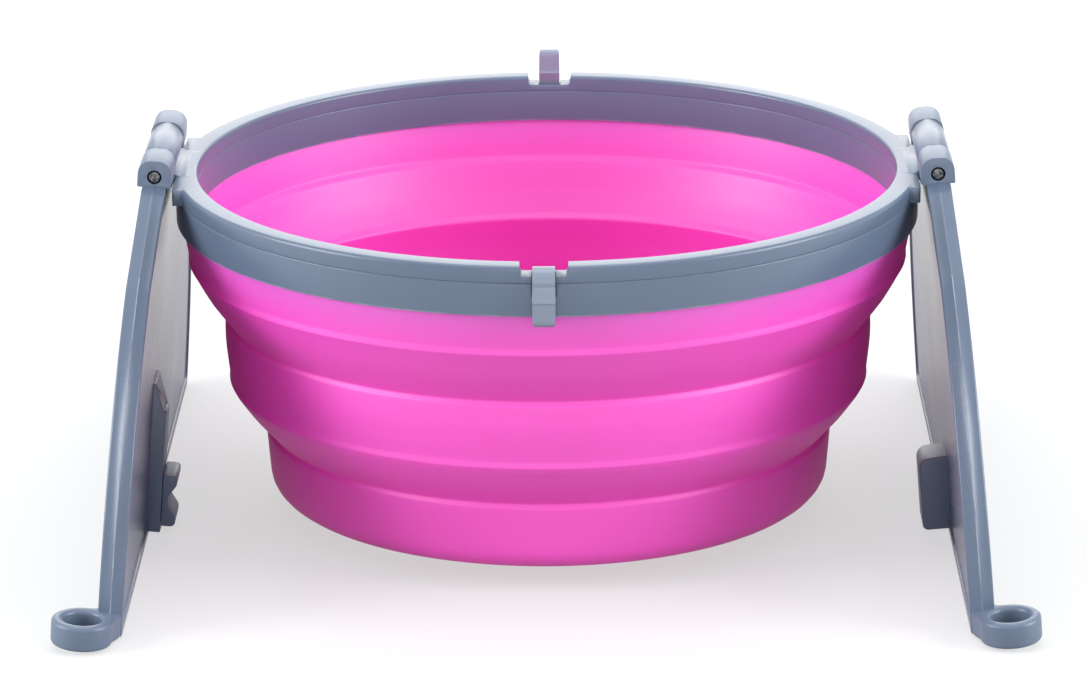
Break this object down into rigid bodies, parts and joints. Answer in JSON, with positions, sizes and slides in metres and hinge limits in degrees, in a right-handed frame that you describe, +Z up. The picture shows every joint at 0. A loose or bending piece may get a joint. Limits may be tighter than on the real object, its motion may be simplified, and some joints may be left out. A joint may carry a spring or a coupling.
{
  "type": "collapsible travel bowl",
  "caption": "Collapsible silicone travel bowl in a plastic rim ring, with half-lids that swing over on hinges to stand as legs, a slide latch, carry loops and rim clips.",
  "frame": {"origin": "centre of the flat underside of the bowl's base, which hangs about 5 mm above the floor the lids stand on", "axes": "+X runs from the lid with the latch to the lid with the keeper, -Y is the front with the carry loops, +Z is up"},
  "size_m": [0.2014, 0.1803, 0.0836],
  "materials": {
    "grey_plastic": "moulded blue-grey plastic with a satin surface",
    "pink_silicone": "soft satin silicone, a little translucent",
    "pin_steel": "plain drawn steel wire"
  },
  "bodies": {
    "frame": {"rim_upper_ring": "grey_plastic", "rim_lower_ring": "grey_plastic", "bowl_upper_band": "pink_silicone", "bowl_upper_fold": "pink_silicone", "left_hinge_pin": "pin_steel", "right_hinge_pin": "pin_steel", "front_clip_axle": "pin_steel", "rear_clip_axle": "pin_steel"},
    "left_leg": {"left_lid": "grey_plastic"},
    "latch": {"latch_slider": "grey_plastic"},
    "right_leg": {"right_lid": "grey_plastic"},
    "front_catch": {"front_clip": "grey_plastic"},
    "rear_catch": {"rear_clip": "grey_plastic"},
    "middle": {"bowl_middle_band": "pink_silicone", "bowl_lower_fold": "pink_silicone"},
    "base": {"bowl_base": "pink_silicone"}
  },
  "joints": [
    {"name": "left_lid_hinge", "type": "hinge", "parent": "frame", "child": "left_leg", "pos_m": [-0.08285, 0, 0.07485], "axis": [0, 1, 0], "range_deg": [0, 265.5]},
    {"name": "right_lid_hinge", "type": "hinge", "parent": "frame", "child": "right_leg", "pos_m": [0.08285, 0, 0.07485], "axis": [0, -1, 0], "range_deg": [0, 265.5]},
    {"name": "latch_slide", "type": "slide", "parent": "left_leg", "child": "latch", "axis": [-0.0785, 0, -0.9969], "range_m": [0, 0.0071]},
    {"name": "front_clip_swing", "type": "hinge", "parent": "frame", "child": "front_catch", "pos_m": [0, -0.079, 0.069], "axis": [-1, 0, 0], "range_deg": [0, 180]},
    {"name": "rear_clip_swing", "type": "hinge", "parent": "frame", "child": "rear_catch", "pos_m": [0, 0.079, 0.069], "axis": [-1, 0, 0], "range_deg": [0, 180]},
    {"name": "middle_collapse", "type": "slide", "parent": "frame", "child": "middle", "axis": [0, 0, 1], "range_m": [0, 0.0248], "deforming": ["bowl_upper_fold"]},
    {"name": "base_collapse", "type": "slide", "parent": "middle", "child": "base", "axis": [0, 0, 1], "range_m": [0, 0.021], "deforming": ["bowl_lower_fold"]}
  ]
}
